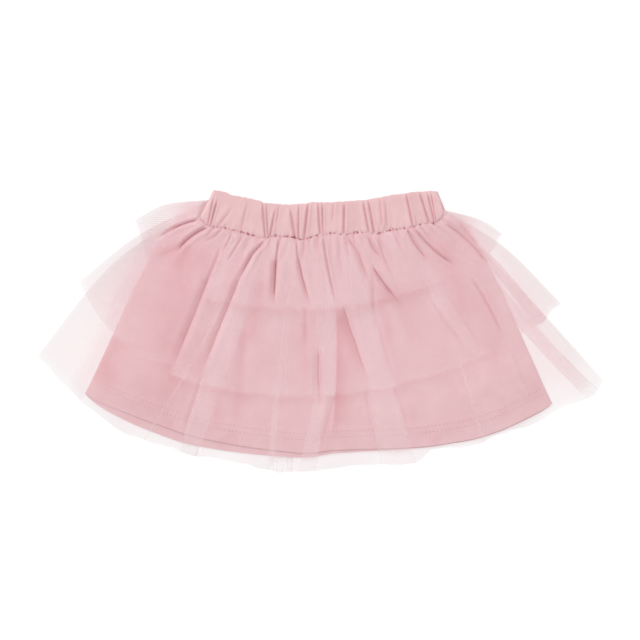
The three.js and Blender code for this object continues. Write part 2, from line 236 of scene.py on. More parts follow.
# Waist
SEAM_LENGTH = 215  # along half of the waist
TOP_BUMP = 0.4  # height of the small bumps along the top of the casing
TOP_BUMPS = 25
FOOT_BUMP = 0.6  # and along the seam
FOOT_BUMPS = 47
SMALL_GATHERS = 34  # below the seam, between the creases
BAND_PUCKERS = 40  # above the seam, between the casing's creases
SEAM_PUCKERS = 64  # dots of painted shade in the puckers along the seam
SEAM_LINE = 0.3  # painted shade along the seam on its left half, between the dots
BAND_TINT = 0.26  # painted shade in the casing's creases
BAND_WALL = 4.6
BAND_END_LEVEL = 4.75  # height of the casing where its halves meet
BAND_END = 0.015  # share of the casing's length that rounds off at each end
BAND_BACK_CREASE = 0.3  # depth of the creases in the casing's back half
BAND_COLUMNS = 480
BAND_ROWS = 44
BAND_WEAVE = (300, 56)  # cloth along and round half the casing, for its weave

# Pleats of the net, as shares across the fan: the middle at the waist, both edges a third of the way
# down the fan, and both edges at the longest hem
Pleat = namedtuple("Pleat", "waist left right left_hem right_hem")
PLEATS = {
    "tier_1_front": [Pleat(0.19, 0.174, 0.219, 0.18, 0.235), Pleat(0.752, 0.712, 0.838, 0.72, 0.87)],
    "tier_2_front": [
        Pleat(0.19, 0.174, 0.219, 0.192, 0.214), Pleat(0.29, 0.249, 0.305, 0.238, 0.288),
        Pleat(0.37, 0.394, 0.418, 0.45, 0.44), Pleat(0.47, 0.485, 0.54, 0.512, 0.52),
        Pleat(0.58, 0.562, 0.641, 0.65, 0.675), Pleat(0.8, 0.792, 0.833, 0.87, 0.872),
        Pleat(0.958, 0.948, 0.968, 0.95, 0.971),
    ],
    "tier_3_front": [
        Pleat(0.235, 0.231, 0.237, 0.186, 0.19), Pleat(0.29, 0.249, 0.305, 0.249, 0.281),
        Pleat(0.43, 0.397, 0.409, 0.405, 0.417), Pleat(0.51, 0.514, 0.538, 0.46, 0.49),
        Pleat(0.58, 0.6, 0.641, 0.605, 0.667), Pleat(0.8, 0.81, 0.816, 0.781, 0.787),
    ],
    "tier_1_back": [Pleat(0.3, 0.29, 0.33, 0.29, 0.33), Pleat(0.62, 0.6, 0.66, 0.6, 0.66)],
    "tier_2_back": [
        Pleat(0.18, 0.15, 0.2, 0.14, 0.2), Pleat(0.4, 0.39, 0.43, 0.4, 0.44),
        Pleat(0.7, 0.69, 0.75, 0.7, 0.76),
    ],
    "tier_3_back": [
        Pleat(0.25, 0.24, 0.28, 0.252, 0.28), Pleat(0.45, 0.42, 0.46, 0.41, 0.45),
        Pleat(0.93, 0.925, 0.96, 0.962, 0.984),
    ],
}

# Folds
TURN = 6.28  # one turn of a wave, in radians
LOOSE_WAVES = 5  # that make up the slow waves of a layer
CREASE_LINE = 0.9  # half width of the painted dark line along a crease
HEM_SHADE = 0.08  # just below the hem of a tier
HEM_RIPPLE = 0.012  # of a tier's hem, as a share of the longest tier's length
BACK_CREASE = 0.25  # depth of the creases in the back, which lies pressed under the front
PINCH = 0.3  # width of a pleat at the waist, as a share of its width a third of the way down
PLEAT_STEP = 0.4  # between the layers of a pleat
PLEAT_OPENS = 0.8  # share of a pleat's hidden layers that thins away at the longest hem

# Cloth
FAN_TOP = 223  # width of the fan at the waist
FAN_FOOT = 472  # and at the longest hem
FAN_LENGTH = 190  # from the waist seam to the longest hem
LEVEL_COLUMNS = 96  # of the grid that reads the heights of a solid
LEVEL_ROWS = 32
EVEN_OUT = 6  # columns to each side, which even out its gathers
LINING_EDGES = (((-140, 63), (-196.5, -52)), ((143, 50), (193, -60.5)))  # top and foot, left and right
NET_COVER = 0.215  # share of the view that one layer of net covers
NET_CELL = 0.8
NET_COLUMNS = {"front": 420, "back": 160}  # across the fan
NET_ROWS = (24, 60)  # of any tier, and more for its share of the fan's length
NET_SINK = 0.3  # below the top of its solid
NET_LOWEST = 0.3  # above the floor
SOFT_SIDE = 2  # along which the net thins out to its side edges
SOFT_HEM = 8  # and to its hem beside the lining
JERSEY_THICK = 0.7
RIM = 0.0008  # share of the lining that turns over at its cut edges
LINING_LENGTH = 186
LINING_GRID = {"front": (400, 110), "back": (120, 60)}  # columns and rows
LINING_START = 8.5  # height at which the front lining leaves the seam
NET_START = 8.9  # and at which the front net does
HEM_STEP = 0.35  # up to the doubled cloth of the lining's hem
EDGE_DROP = 1.5  # of the front lining at its side edges
EDGE_WIDTH = 3  # over which it drops
STITCH_ROWS = (13.5, 17)  # above the lining's hem
STITCH_LENGTH = 2.6
STITCH_PITCH = 3.3
STITCH_THICK = 0.7
STITCH_ENDS = (4, 6)  # free of stitches at the ends of a row
NEEDLE_HOLE = 0.8
# Painted shade of the dark bars that stand for the needle holes
HOLE_SHADE = 0.65
NEAR_SEAM = np.array([-1.6, -0.7, 0, 0.5, 1, 1.6, 2.4])  # rows of the cloth beside the seam
SEAM_SETTLE = 5  # below the seam, over which the cloth rises to its full height

# Colours: the light and dark shade of each cloth, the spacing of its threads and the depth of its weave
Woven = namedtuple("Woven", "light dark thread depth")
CASING = Woven((0.79, 0.523, 0.535), (0.741, 0.47, 0.483), 0.9, 0.35)
JERSEY = Woven((0.753, 0.481, 0.505), (0.71, 0.426, 0.447), 1.1, 0.3)
THREAD = Woven((0.83, 0.58, 0.6), (0.79, 0.54, 0.56), 0.6, 0.2)
NET_LIGHT = (0.775, 0.57, 0.59)
NET_DARK = (0.73, 0.512, 0.53)
NET_EDGE = (0.675, 0.58, 0.59)
SOFT_AT = 0.3  # a soft painted shade
SOFT_SHADE = (0.92, 0.75, 0.77)  # what it multiplies the cloth's colour by
DEEP_SHADE = (0.42, 0.15, 0.2)  # and what a full painted shade does

# Light: the floor is partly lit from within, so that it is as white as the photograph's
FLOOR_GREY = 0.25
FLOOR_GLOW = 0.785
SKY = 0.82
SUN = 1.3
SUN_SPREAD = 25
SUN_TILT = -35

# View of the photograph
CAMERA_X = -0.83
CAMERA_Y = 9.13
VIEW_WIDTH = 531.2
VIEW_HEIGHT_Z = 8
LENS = 100
SENSOR = 36


def lerp(a, b, t):
    return a + (b - a) * t


def smooth(value, low, high):
    t = np.clip((value - low) / (high - low), 0, 1)
    return t * t * (3 - 2 * t)


# Curves in plan


def length_along(line):
    """Length of a line of points up to each of them."""
    steps = np.linalg.norm(np.diff(line, axis=0), axis=1)
    return np.concatenate([[0], np.cumsum(steps)])


def curve_through(points, samples=200):
    """A centripetal Catmull-Rom curve, as a function of the share of its length."""
    points = np.array(points, float)
    ends = [2 * points[0] - points[1], *points, 2 * points[-1] - points[-2]]
    t = np.linspace(0, 1, samples)[:, None]
    runs = []
    for p0, p1, p2, p3 in zip(ends, ends[1:], ends[2:], ends[3:]):
        d0, d1, d2 = (np.linalg.norm(b - a) ** 0.5 for a, b in ((p0, p1), (p1, p2), (p2, p3)))
        out = d1 * ((p1 - p0) / d0 - (p2 - p0) / (d0 + d1) + (p2 - p1) / d1)
        into = d1 * ((p2 - p1) / d1 - (p3 - p1) / (d1 + d2) + (p3 - p2) / d2)
        square = 3 * (p2 - p1) - 2 * out - into
        cube = 2 * (p1 - p2) + out + into
        runs.append(p1 + out * t + square * t**2 + cube * t**3)
    line = np.vstack(runs)
    length = length_along(line)
    length /= length[-1]

    def at(share):
        return np.stack([np.interp(share, length, line[:, k]) for k in range(2)], -1)

    return at


band_seam = curve_through(BAND_SEAM)
band_top = curve_through(BAND_TOP)
plan_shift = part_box("waistband_front")[1].y / MM - BAND_TOP_HIGHEST


def wave(table, along):
    return np.interp(along, [row.along for row in table], [row.off for row in table])


def along_seam(across):
    return np.clip((across - WING) / (1 - 2 * WING), 0, 1)


def waist_edge(across):
    """The waist seam, and up the ends of the waistband in the wings."""
    place = band_seam(along_seam(across))
    left_up = np.subtract(BAND_TOP[0], BAND_SEAM[0])
    right_up = np.subtract(BAND_TOP[-1], BAND_SEAM[-1])
    place += np.clip(1 - across / WING, 0, 1)[..., None] * left_up * RISE_LEFT
    return place + np.clip(1 - (1 - across) / WING, 0, 1)[..., None] * right_up * RISE_RIGHT


def longest_hem(across):
    square = np.where(across < 0.5, HEM_SQUARE_LEFT, HEM_SQUARE_RIGHT)
    bow = 1 - np.abs(2 * across - 1) ** square
    drop = (HEM_LEFT[1] + HEM_RIGHT[1]) / 2 - HEM_LOWEST
    x = lerp(HEM_LEFT[0], HEM_RIGHT[0], across)
    return np.stack([x, lerp(HEM_LEFT[1], HEM_RIGHT[1], across) - drop * bow], -1)


def fan(across, down):
    """Plan points that all layers share, from the waist seam to the longest hem."""
    place = lerp(waist_edge(across), longest_hem(across), down[..., None])
    place[..., 1] += wave(SEAM_WAVES, along_seam(across)) * (1 - smooth(down, 0, 0.12))
    return place


def reach_of(hem, across):
    """How far a hem reaches down the fan, rounded where its slope changes."""
    steps = (-0.06, -0.03, 0, 0.03, 0.06)
    return np.mean([np.interp(across + step, REACH_AT, REACH[hem]) for step in steps], axis=0)


def plan(cloth, hem, across, share):
    """Plan points of a layer: the common fan, led into the layer's two side edges."""
    sides = SIDES[cloth]
    inset = WING if cloth == "lining" else 0
    edges = (
        (inset, sides.left_elbow, sides.left_hem),
        (1 - inset, sides.right_elbow, sides.right_hem),
    )
    place = fan(across, share * reach_of(hem, across))
    for at, elbow, corner in edges:
        at = np.full_like(share, at)
        curve = curve_through([waist_edge(at.flat[:1])[0], elbow, corner])
        near = np.clip(1 - np.abs(across - at) / (SIDE_BLEND - inset), 0, 1) ** 2
        shift = curve(np.clip(share, 0, 1)) - fan(at, np.clip(share, 0, 1) * reach_of(hem, at))
        place += shift * near[..., None]
    return place


# Heights


def spread(down):
    """Width of the fan in millimetres, at a share of the way down it."""
    return lerp(FAN_TOP, FAN_FOOT, down)


def uneven(number, seed):
    """A fixed value from 0 to 1 for a whole number, with no order that shows."""
    return np.modf(np.abs(np.sin(number * 12.9898 + seed * 78.233) * 43758.5453))[0]


def trough(off, depth):
    """A sharp trough with a soft roll of cloth on each side, at distances counted in half widths."""
    valley = np.clip(1 - np.abs(off), 0, 1) ** 1.5
    rolls = np.exp(-(((np.abs(off) - 1.4) / 0.7) ** 2))
    return depth * (0.4 * rolls - 0.75 * valley)


def shaded(away, before, after, depth, tint):
    """Painted shade of a crease: soft on both sides, with a thin dark line along it that grows with its
    depth.
    """
    half = np.where(away < 0, before, after)
    soft = np.clip(1 - np.abs(away) / half, 0, 1) ** 1.3
    line = np.clip(1 - np.abs(away) / CREASE_LINE, 0, 1)
    return tint * (0.8 * soft + 0.5 * depth * line)


def creased(table, across, down):
    """Height and painted shade of a table of creases at points of the cloth."""
    height = np.zeros_like(across)
    dark = np.zeros_like(across)
    for row in table:
        (a0, d0), (a1, d1), (a2, d2) = row.start, row.middle, row.end
        away = (across - np.interp(down, (d0, d1, d2), (a0, a1, a2))) * spread(down)
        ends = smooth(down, d0 - 0.01, d0 + 0.03) * (1 - smooth(down, lerp(d0, d2, 0.6), d2 + 0.02))
        height += trough(away / (0.5 * (row.left + row.right)), row.depth) * ends
        dark = np.maximum(dark, shaded(away, row.left, row.right, row.depth, row.tint) * ends)
    return height, dark


def beside(row, place):
    """Distance of plan points below a bowed line, and how far along it each of them counts."""
    start, middle, end = (np.array(point, float) for point in row[:3])
    length = np.linalg.norm(end - start)
    along = (end - start) / length
    upward = np.array([-along[1], along[0]]) * np.sign(along[0])
    turn = (middle - start) @ along / length
    bow = (middle - start) @ upward / (turn * (1 - turn))
    t = (place - start) @ along / length
    away = bow * t * (1 - t) - (place - start) @ upward
    ends = smooth(t, -0.04, 0.08) * (1 - smooth(t, 0.75, 1.03))
    return away, ends


def hip_folds(place):
    """Height and painted shade of the folds at the hips at plan points."""
    height = np.zeros(place.shape[:-1])
    dark = np.zeros(place.shape[:-1])
    for row in HIP_FOLDS:
        away, ends = beside(row, place)
        height += trough(away / (0.5 * (row.above + row.below)), row.depth) * ends
        dark = np.maximum(dark, shaded(away, row.above, row.below, row.depth, row.tint) * ends)
    return height, dark


def broad_shade(place):
    """Painted darkness of the broad shades at plan points; a negative tint paints a highlight."""
    dark = np.zeros(place.shape[:-1])
    for row in SHADES:
        away, ends = beside(row, place)
        dark += shaded(away, row.above, row.below, 0, row.tint) * ends
    return dark


def gathers(across, down):
    """Height and painted shade of the small gathers that run down from the seam."""
    height = np.zeros_like(across)
    dark = np.zeros_like(across)
    for number in range(SMALL_GATHERS):
        middle = WING + (1 - 2 * WING) * (number + 0.2 + 0.6 * uneven(number, 1)) / SMALL_GATHERS
        lean = middle + (middle - 0.5) * 0.12 * down
        away = (across - lean) * spread(down)
        length = lerp(0.03, 0.16, uneven(number, 3))
        fade = 1 - smooth(down, 0.2 * length, length)
        height += trough(away / lerp(2, 3.5, uneven(number, 2)), lerp(0.5, 1.1, uneven(number, 4))) * fade
        deep = lerp(0.07, 0.3, uneven(number, 6))
        dark = np.maximum(dark, deep * np.clip(1 - np.abs(away) / 1.3, 0, 1) * fade)
    return height, dark


def drape(side, across, down, place):
    """Height and painted shade of a layer's creases; the back has the front's, turned round and flatter.
    """
    front = side == "front"
    from_left = across if front else 1 - across
    rise, dark = creased(CREASES, from_left, down)
    gather_rise, gather_dark = gathers(from_left, down)
    rise = (rise + gather_rise) * smooth(np.minimum(across, 1 - across), 0.02, 0.12)
    dark = np.maximum(dark, gather_dark)
    if not front:
        return BACK_CREASE * rise, dark
    hip_rise, hip_dark = hip_folds(place)
    return rise + hip_rise, np.maximum(dark, hip_dark) + broad_shade(place)


def hem_ripple(cloth, seed, across):
    """How unevenly a tier's hem is cut, as a share of its length."""
    ripple = HEM_RIPPLE * crumple(across, 0 * across, seed + 4) / max(REACH[cloth])
    if cloth in HEM_WAVES:
        ripple += wave(HEM_WAVES[cloth], across)
    return ripple


def hem_shade(cloth, across, down):
    """Soft shade that the hems of the tiers above leave on a front layer."""
    dark = np.zeros_like(across)
    for seed, upper in enumerate(("tier_1", "tier_2"), 1):
        if upper < cloth or cloth == "lining":
            reach = reach_of(upper, across) * (1 + hem_ripple(upper, seed, across))
            below = FAN_LENGTH * (down - reach)
            dark += HEM_SHADE * smooth(below, -0.3, 0.8) * (1 - smooth(below, 1.5, 9))
    return dark * smooth(np.minimum(across, 1 - across), 0.12, 0.2)


def settle(across, down):
    """Share of its height that a layer keeps: less towards the hem and the sides."""
    hem = lerp(0.4, 1, smooth((1 - down) * FAN_LENGTH, 4, 45))
    lowest = lerp(0.9, 0.5, smooth(down, 0, 0.15))
    sides = lerp(lowest, 1, smooth(np.minimum(across, 1 - across), 0.01, 0.15))
    return hem * sides


def crumple(across, down, seed):
    """Slow waves of loose cloth, different for each layer."""
    waves = np.zeros_like(across)
    for number in range(LOOSE_WAVES):
        turns = lerp(9, 30, uneven(number, seed))
        slant = lerp(-5, 5, uneven(number, seed + 0.3))
        phase = TURN * uneven(number, seed + 0.6)
        height = lerp(0.5, 1, uneven(number, seed + 0.9))
        waves += height * np.sin(TURN * (turns * across + slant * down) + phase)
    return waves / LOOSE_WAVES


def solid_top(node, place):
    """Heights of the upper face of a solid at plan points."""
    tree = BVHTree.FromObject(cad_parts[node], bpy.context.evaluated_depsgraph_get())
    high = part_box(node)[1].z
    heights = np.empty(place.shape[:-1])
    for index in np.ndindex(heights.shape):
        x, y = place[index] * MM
        hit = tree.ray_cast(Vector((x, y, high + 0.01)), Vector((0, 0, -1)))[0]
        if hit is None:
            hit = tree.find_nearest(Vector((x, y, high)))[0]
        heights[index] = hit.z / MM
    return heights


def evened(heights):
    """Heights with the even gathers of the solid taken out along each row."""
    kernel = np.exp(-(np.arange(-EVEN_OUT, EVEN_OUT + 1) ** 2) / 8)
    kernel /= kernel.sum()
    padded = np.pad(heights, ((0, 0), (EVEN_OUT, EVEN_OUT)), mode="edge")
    return np.apply_along_axis(lambda line: np.convolve(line, kernel, mode="valid"), 1, padded)


def level_of(node, cloth, hem):
    """The height of a layer, as a function of the shares across and down it."""
    columns = np.linspace(0, 1, LEVEL_COLUMNS + 1)
    rows = np.linspace(0, 1, LEVEL_ROWS + 1)
    place = plan(cloth, hem, *np.meshgrid(columns, rows))
    place[..., 1] += plan_shift
    heights = evened(solid_top(node, place))

    def at(across, share):
        column = np.clip(across, 0, 1) * LEVEL_COLUMNS
        row = np.clip(share, 0, 1) * LEVEL_ROWS
        c = np.minimum(column.astype(int), LEVEL_COLUMNS - 1)
        r = np.minimum(row.astype(int), LEVEL_ROWS - 1)
        upper = lerp(heights[r, c], heights[r, c + 1], column - c)
        lower = lerp(heights[r + 1, c], heights[r + 1, c + 1], column - c)
        return lerp(upper, lower, row - r)

    return at


# Meshes


def lifted(place, heights):
    """Points of a piece from its plan and heights, moved into the part's frame."""
    points = np.concatenate([place, heights[..., None]], -1)
    points[..., 1] += plan_shift
    return points


def new_piece(name, vertices, faces):
    """A smooth mesh object through points in millimetres."""
    mesh = bpy.data.meshes.new(name)
    mesh.from_pydata((vertices * MM).tolist(), [], faces)
    mesh.shade_smooth()
    piece = bpy.data.objects.new(name, mesh)
    bpy.context.collection.objects.link(piece)
    return piece


def grid_mesh(name, points, uv, close_rows=False):
    """A mesh through a grid of points, with the cloth's own flat coordinates."""
    rows, columns = points.shape[:2]
    number = np.arange(rows * columns).reshape(rows, columns)
    if close_rows:
        number = np.vstack([number, number[:1]])
    corners = (number[:-1, :-1], number[1:, :-1], number[1:, 1:], number[:-1, 1:])
    faces = np.stack([corner.ravel() for corner in corners], -1)
    piece = new_piece(name, points.reshape(-1, 3), faces.tolist())
    layer = piece.data.uv_layers.new(name="cloth")
    layer.data.foreach_set("uv", uv.reshape(-1, 2)[faces.ravel()].ravel() * MM)
    piece.data.update()
    return piece


def vertex_value(piece, name, values):
    attribute = piece.data.attributes.new(name, "FLOAT", "POINT")
    attribute.data.foreach_set("value", np.ascontiguousarray(values, dtype=np.float32).ravel())


def belongs(piece, node, material):
    piece.data.materials.append(material)
    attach(piece, "root")
    if node:
        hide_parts(node)


# Materials


class Nodes:
    """A short way to add and link the nodes of a material."""

    def __init__(self, name):
        self.material = bpy.data.materials.new(name)
        self.material.use_nodes = True
        self.tree = self.material.node_tree
        self.shader = self.tree.nodes["Principled BSDF"]

    def add(self, kind, inputs=(), **settings):
        node = self.tree.nodes.new("ShaderNode" + kind)
        for key, value in settings.items():
            setattr(node, key, value)
        for socket, value in dict(inputs).items():
            if isinstance(value, bpy.types.NodeSocket):
                self.tree.links.new(value, node.inputs[socket])
            else:
                node.inputs[socket].default_value = value
        return node

    def math(self, operation, a, b=0.0):
        return self.add("Math", {0: a, 1: b}, operation=operation).outputs[0]

    def link(self, output, socket):
        self.tree.links.new(output, self.shader.inputs[socket])

    def cloth(self, roughness, sheen):
        self.shader.inputs["Roughness"].default_value = roughness
        self.shader.inputs["Specular IOR Level"].default_value = 0.2
        self.shader.inputs["Sheen Weight"].default_value = sheen
        self.shader.inputs["Sheen Roughness"].default_value = 0.6

    def mottled(self, light, dark, scale):
        """Colour that drifts a little between two shades, in the object's own coordinates."""
        where = self.add("TexCoord").outputs["Object"]
        noise = self.add("TexNoise", {"Vector": where, "Scale": scale, "Detail": 4, "Roughness": 0.6})
        ramp = self.add("ValToRGB", {"Fac": noise.outputs["Fac"]})
        ramp.color_ramp.elements[0].position = 0.3
        ramp.color_ramp.elements[0].color = (*dark, 1)
        ramp.color_ramp.elements[1].position = 0.7
        ramp.color_ramp.elements[1].color = (*light, 1)
        return ramp.outputs["Color"]


def with_painted_shade(nodes, colour):
    """A colour with painted shade: deeper and redder where the cloth's shade attribute says so."""
    shade = nodes.add("Attribute", attribute_name="shade").outputs["Fac"]
    ramp = nodes.add("ValToRGB", {"Fac": shade})
    ramp.color_ramp.elements[0].color = (1, 1, 1, 1)
    ramp.color_ramp.elements[1].color = (*DEEP_SHADE, 1)
    ramp.color_ramp.elements.new(SOFT_AT).color = (*SOFT_SHADE, 1)
    mix = nodes.add("Mix", {"Factor": 1.0}, data_type="RGBA", blend_type="MULTIPLY")
    nodes.tree.links.new(colour, mix.inputs["A"])
    nodes.tree.links.new(ramp.outputs["Color"], mix.inputs["B"])
    return mix.outputs["Result"]


def woven_material(name, look):
    """Cloth with fine rows of thread or stitches along its own coordinates."""
    nodes = Nodes(name)
    nodes.cloth(roughness=0.88, sheen=0.12)
    uv = nodes.add("UVMap", uv_map="cloth").outputs["UV"]
    part = nodes.add("SeparateXYZ", {"Vector": uv})
    turn = 2 * math.pi / (look.thread * MM)
    rows = nodes.math("SINE", nodes.math("MULTIPLY", part.outputs["X"], turn))
    ends = nodes.math("SINE", nodes.math("MULTIPLY", part.outputs["Y"], turn))
    knit = nodes.math("MULTIPLY", rows, ends)
    where = nodes.add("TexCoord").outputs["Object"]
    fuzz = nodes.add("TexNoise", {"Vector": where, "Scale": 900, "Detail": 2})
    height = nodes.math("ADD", nodes.math("MULTIPLY", knit, 0.5), fuzz.outputs["Fac"])
    bump = nodes.add("Bump", {"Height": height, "Strength": look.depth, "Distance": 0.0004})
    nodes.link(bump.outputs["Normal"], "Normal")
    nodes.link(with_painted_shade(nodes, nodes.mottled(look.light, look.dark, 60)), "Base Color")
    return nodes.material


def net_material():
    """Hexagonal net: threads between rows of round holes, in the flat cloth's coordinates."""
    nodes = Nodes("net")
    nodes.cloth(roughness=0.7, sheen=0.1)
    uv = nodes.add("UVMap", uv_map="cloth").outputs["UV"]
    turn = 2 * math.pi / (NET_CELL * MM)
    waves = None
    for angle in (15, 75, 135):
        way = (turn * math.cos(math.radians(angle)), turn * math.sin(math.radians(angle)), 0)
        along = nodes.add("VectorMath", {0: uv, 1: way}, operation="DOT_PRODUCT").outputs["Value"]
        ripple = nodes.math("COSINE", along)
        waves = ripple if waves is None else nodes.math("ADD", waves, ripple)
    hole_to_thread = {"From Min": 2.2, "From Max": -1.2, "To Min": 0.82, "To Max": 1.1}
    threads = nodes.add("MapRange", {"Value": waves, **hole_to_thread})
    cover = nodes.add("Attribute", attribute_name="cover").outputs["Fac"]
    nodes.link(nodes.math("MULTIPLY", cover, threads.outputs["Result"]), "Alpha")
    pale = nodes.add("Attribute", attribute_name="pale").outputs["Fac"]
    mix = nodes.add("Mix", {"Factor": pale}, data_type="RGBA")
    nodes.tree.links.new(nodes.mottled(NET_LIGHT, NET_DARK, 35), mix.inputs["A"])
    mix.inputs["B"].default_value = (*NET_EDGE, 1)
    nodes.link(with_painted_shade(nodes, mix.outputs["Result"]), "Base Color")
    return nodes.material


# Waistband


def seam_pucker_shade(along):
    """Painted shade in the small puckers along the waist seam, where the stitches draw the cloth in."""
    dark = np.zeros_like(along)
    for number in range(SEAM_PUCKERS):
        middle = (number + 0.1 + 0.8 * uneven(number, 21)) / SEAM_PUCKERS
        off = (along - middle) * SEAM_LENGTH / lerp(0.7, 2, uneven(number, 22))
        deep = np.clip(1.6 * uneven(number, 23) - 0.2, 0.12, 1)
        dark = np.maximum(dark, deep * np.clip(1.5 - 1.5 * np.abs(off), 0, 1))
    return np.maximum(dark, SEAM_LINE * (1 - smooth(along, 0.42, 0.55)))


def pucker_shade_below(across, from_seam):
    """The painted shade of the seam's puckers, as far as it shows on the cloth below it."""
    return seam_pucker_shade(along_seam(across)) * (1 - smooth(from_seam, 0.5, 1.2))


def scallops(along, count):
    """Small round bumps of uneven width along an edge, from 0 to 1."""
    drift = 1.1 * np.sin(13 * along) + 0.5 * np.sin(41 * along)
    return np.abs(np.sin(np.pi * (count * along + drift)))


def band_puckers(along, high):
    """Height of the small puckers that rise from the seam between the casing's creases."""
    height = np.zeros_like(along)
    for number in range(BAND_PUCKERS):
        middle = (number + 0.2 + 0.6 * uneven(number, 7)) / BAND_PUCKERS
        off = (along - middle) * SEAM_LENGTH / lerp(1.5, 3, uneven(number, 8))
        tall = lerp(0.12, 0.4, uneven(number, 9))
        deep = lerp(0.3, 0.8, uneven(number, 5))
        height += trough(off, deep) * (1 - smooth(high, 0.2 * tall, tall))
    return height


def band_rise(along, high):
    """Height and painted shade of the casing's creases, soft rolls and small puckers."""
    height = 0.35 * np.sin(TURN * 11 * along + 1) * np.sin(TURN * 4.3 * along)
    dark = seam_pucker_shade(along) * (1 - smooth(high, 0.01, 0.05))
    for row in BAND_CREASES:
        away = (along - lerp(row.bottom, row.top, high)) * SEAM_LENGTH
        ends = smooth(high, row.low - 0.12, row.low + 0.06)
        ends *= 1 - smooth(high, row.high - 0.2, row.high + 0.08)
        height += trough(away / (0.6 * row.half), 0.9 * row.depth) * ends
        half = row.half / 2.2
        dark = np.maximum(dark, shaded(away, half, half, row.depth, BAND_TINT) * ends)
    return height + band_puckers(along, high), dark


def band_plan(along, up):
    """Plan points of the casing, from its foot at the seam to its top."""
    foot = band_seam(along)
    foot[..., 1] += wave(SEAM_WAVES, along) - FOOT_BUMP * scallops(along, FOOT_BUMPS)
    head = band_top(along)
    head[..., 1] += wave(TOP_WAVES, along) + TOP_BUMP * scallops(along, TOP_BUMPS)
    return lerp(foot, head, up[..., None])


def waistband(side, material):
    """Half of the casing: a flattened tube, gathered on its outer face."""
    front = side == "front"
    outer = 1 if front else -1
    along = np.linspace(0, 1, BAND_COLUMNS + 1)
    turn = np.linspace(0, 2 * np.pi, BAND_ROWS, endpoint=False)
    along, turn = np.meshgrid(along, turn)
    upright = -np.cos(turn)
    up = 0.5 + 0.5 * np.sign(upright) * np.abs(upright) ** 0.8
    bulge = np.sign(np.sin(turn)) * np.abs(np.sin(turn)) ** 0.3
    into_end = (np.abs(along - 0.5) - 0.5 + BAND_END) / BAND_END
    ends = np.sqrt(1 - np.clip(into_end, 0, 0.97) ** 2)
    rise, dark = band_rise(along if front else 1 - along, up)
    rise *= 1 if front else BAND_BACK_CREASE
    seen = np.clip(outer * bulge, 0, 1)
    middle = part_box(f"waistband_{side}")[0].z / MM + BAND_WALL / 2
    z = middle + (BAND_WALL / 2 * bulge + outer * rise * seen) * ends
    z = lerp(BAND_END_LEVEL, z, lerp(0.35, 1, ends))
    points = lifted(band_plan(along, up), np.maximum(z, 0.1))
    uv = np.stack([along * BAND_WEAVE[0], turn / (2 * np.pi) * BAND_WEAVE[1]], -1)
    piece = grid_mesh(f"waistband_{side}_casing", points, uv, close_rows=True)
    # Painted shade of the creases and seam puckers, on the outer face only
    vertex_value(piece, "shade", dark * seen)
    belongs(piece, f"waistband_{side}", material)


# Lining


def lining_grid(side):
    """Shares across and down a panel, with narrow rows at the seam and at the cut edges."""
    columns, rows = LINING_GRID[side]
    across = np.linspace(WING, 1 - WING, columns + 1)
    across = np.sort(np.append(across, [WING + RIM, 1 - WING - RIM]))
    share = np.concatenate([NEAR_SEAM / LINING_LENGTH, np.linspace(0.02, 1 - RIM, rows), [1]])
    return np.meshgrid(across, share)


def lining_form(side, across, share, place):
    """Heights and painted shade of a panel at its plan points."""
    hem = f"lining_{side}"
    below = np.clip(share, 0, 1)
    down = below * reach_of(hem, across)
    from_seam = below * LINING_LENGTH
    rise, dark = drape(side, across, down, place)
    z = level_of(hem, "lining", hem)(across, share) - JERSEY_THICK / 2 + rise
    if side == "front":
        seam_rise, seam_dark = creased(LINING_SEAM, across, below)
        z += seam_rise + 0.3 * crumple(across, down, 3) * smooth(down, 0.1, 0.5)
        z = lerp(LINING_START, z, smooth(from_seam, 0, SEAM_SETTLE))
        edge = np.minimum(across - WING, 1 - WING - across) * spread(down)
        z -= EDGE_DROP * (1 - np.clip(edge / EDGE_WIDTH, 0, 1)) ** 2
        dark = np.max([dark, seam_dark, pucker_shade_below(across, from_seam)], axis=0)
        dark += hem_shade("lining", across, down)
    hem_top = LINING_LENGTH - STITCH_ROWS[1] - 2
    z += HEM_STEP * smooth(from_seam, hem_top, hem_top + 2)
    return z * settle(across, down), dark


def lining(side, material):
    """One panel of the jersey lining with its doubled hem; gives the panel's points."""
    hem = f"lining_{side}"
    across, share = lining_grid(side)
    place = plan("lining", hem, across, share * (1 + wave(LINING_HEM_WAVES, across)))
    z, dark = lining_form(side, across, share, place)
    points = lifted(place, z)
    uv = np.stack([across * FAN_FOOT, np.clip(share, 0, 1) * LINING_LENGTH], -1)
    piece = grid_mesh(f"{hem}_panel", points, uv)
    # Painted shade of the creases, folds, seam puckers and the tiers' hems
    vertex_value(piece, "shade", dark)
    thick = piece.modifiers.new("jersey", "SOLIDIFY")
    thick.thickness = JERSEY_THICK * MM
    thick.offset = 0
    belongs(piece, hem, material)
    return points


def bar(spots, thick, shade, mesh_data):
    """Add a small rounded bar through four spots to the vertices, faces and shades of a mesh."""
    vertices, faces, shades = mesh_data
    ring = [(0, 1), (0.7, 0.5), (0.7, -0.2), (-0.7, -0.2), (-0.7, 0.5)]
    base = len(vertices)
    for spot, swell in zip(spots, (0.2, 1, 1, 0.2)):
        for sideways, up in ring:
            lift = JERSEY_THICK / 2 + 0.3 * up * swell
            vertices.append(spot + np.array([0, 0.5 * sideways * thick * swell, lift]))
            shades.append(shade)
    sides = len(ring)
    for k in range(len(spots) - 1):
        for j in range(sides):
            a = base + sides * k + j
            b = base + sides * k + (j + 1) % sides
            faces.append((a, b, b + sides, a + sides))


def spots_along(line, length, start, long):
    """Four spots along a stitch or a needle hole."""
    places = start + long * np.array([0, 0.25, 0.75, 1])
    return np.stack([np.interp(places, length, line[:, k]) for k in range(3)], -1)


